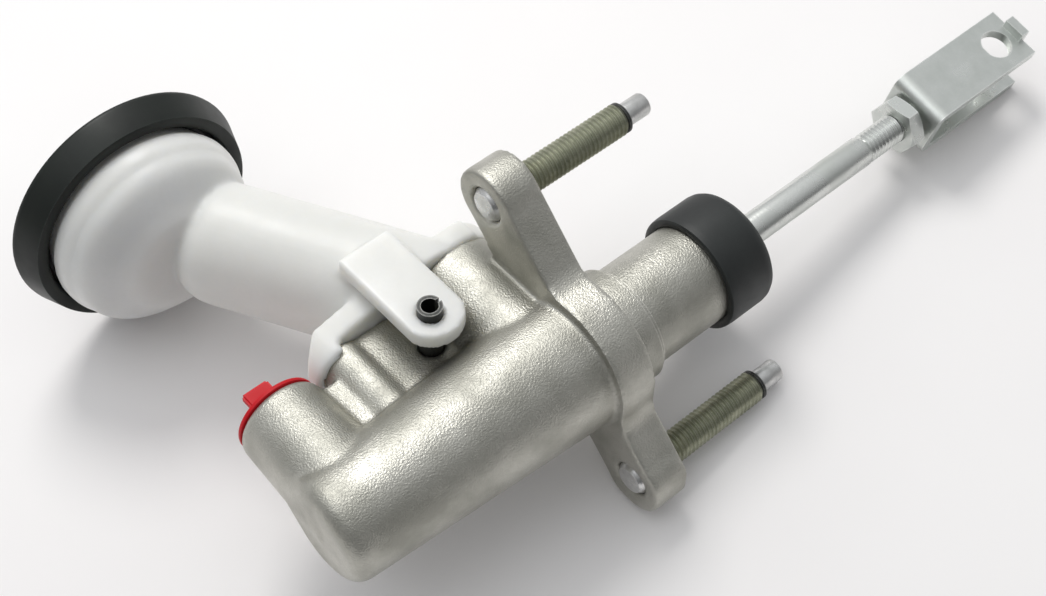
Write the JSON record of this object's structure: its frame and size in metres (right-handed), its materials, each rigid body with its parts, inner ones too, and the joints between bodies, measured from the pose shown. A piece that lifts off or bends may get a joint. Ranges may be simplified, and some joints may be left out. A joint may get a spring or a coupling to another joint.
{
  "type": "clutch master cylinder",
  "caption": "Hydraulic clutch master cylinder with a reservoir on a leaning neck, studded flange, push rod and fork clevis.",
  "frame": {"origin": "where the bore axis meets the flange's mounting face, which is also the root of the pilot", "axes": "+X along the bore towards the clevis, +Y along the inlet towards the reservoir, +Z square to both, up from the bench it lies on"},
  "size_m": [0.2367, 0.1386, 0.0703],
  "materials": {
    "casting": "die-cast, fine grain",
    "stud_steel": "olive chromate over zinc",
    "white_plastic": "milky translucent polypropylene",
    "black_plastic": "satin moulded",
    "red_plastic": "soft polyethylene",
    "rubber": "matte moulded",
    "pin_steel": "blackened spring steel",
    "spring_steel": "drawn wire",
    "seat_brass": "turned",
    "piston_metal": "turned",
    "zinc_steel": "clear zinc"
  },
  "bodies": {
    "housing": {"cylinder_body": "casting", "stud_upper": "stud_steel", "stud_lower": "stud_steel", "reservoir": "white_plastic", "reservoir_grommet": "rubber", "roll_pin": "pin_steel", "outlet_seat": "seat_brass", "return_spring": "spring_steel", "stop_plate": "zinc_steel", "snap_ring": "spring_steel", "dust_boot": "rubber"},
    "piston": {"piston": "piston_metal", "primary_cup": "rubber", "secondary_cup": "rubber", "cup_washer": "zinc_steel", "spring_seat": "zinc_steel"},
    "push_rod": {"push_rod": "zinc_steel"},
    "clevis": {"clevis": "zinc_steel", "lock_nut": "zinc_steel"},
    "seal": {"cap_seal": "rubber"},
    "cap": {"reservoir_cap": "black_plastic"},
    "plug": {"outlet_plug": "red_plastic"}
  },
  "joints": [
    {"name": "piston_stroke", "type": "slide", "parent": "housing", "child": "piston", "axis": [-1, 0, 0], "range_m": [0, 0.025], "stiffness_N_per_m": 1200, "springref_m": -0.03, "deforming": ["return_spring"]},
    {"name": "rod_swivel", "type": "hinge", "parent": "piston", "child": "push_rod", "pos_m": [0.0222, 0, 0], "axis": [0, 0, 1], "range_deg": [-1.5, 1.5]},
    {"name": "clevis_turn", "type": "hinge", "parent": "push_rod", "child": "clevis", "pos_m": [0.1087, 0, 0], "axis": [1, 0, 0], "continuous": true},
    {"name": "cap_lift", "type": "slide", "parent": "housing", "child": "seal", "axis": [0, 1, 0], "range_m": [0, 0.03]},
    {"name": "cap_turn", "type": "hinge", "parent": "seal", "child": "cap", "pos_m": [-0.0591, 0.105, 0], "axis": [0, 1, 0], "continuous": true},
    {"name": "plug_pull", "type": "slide", "parent": "housing", "child": "plug", "axis": [0, 1, 0], "range_m": [0, 0.015]}
  ]
}
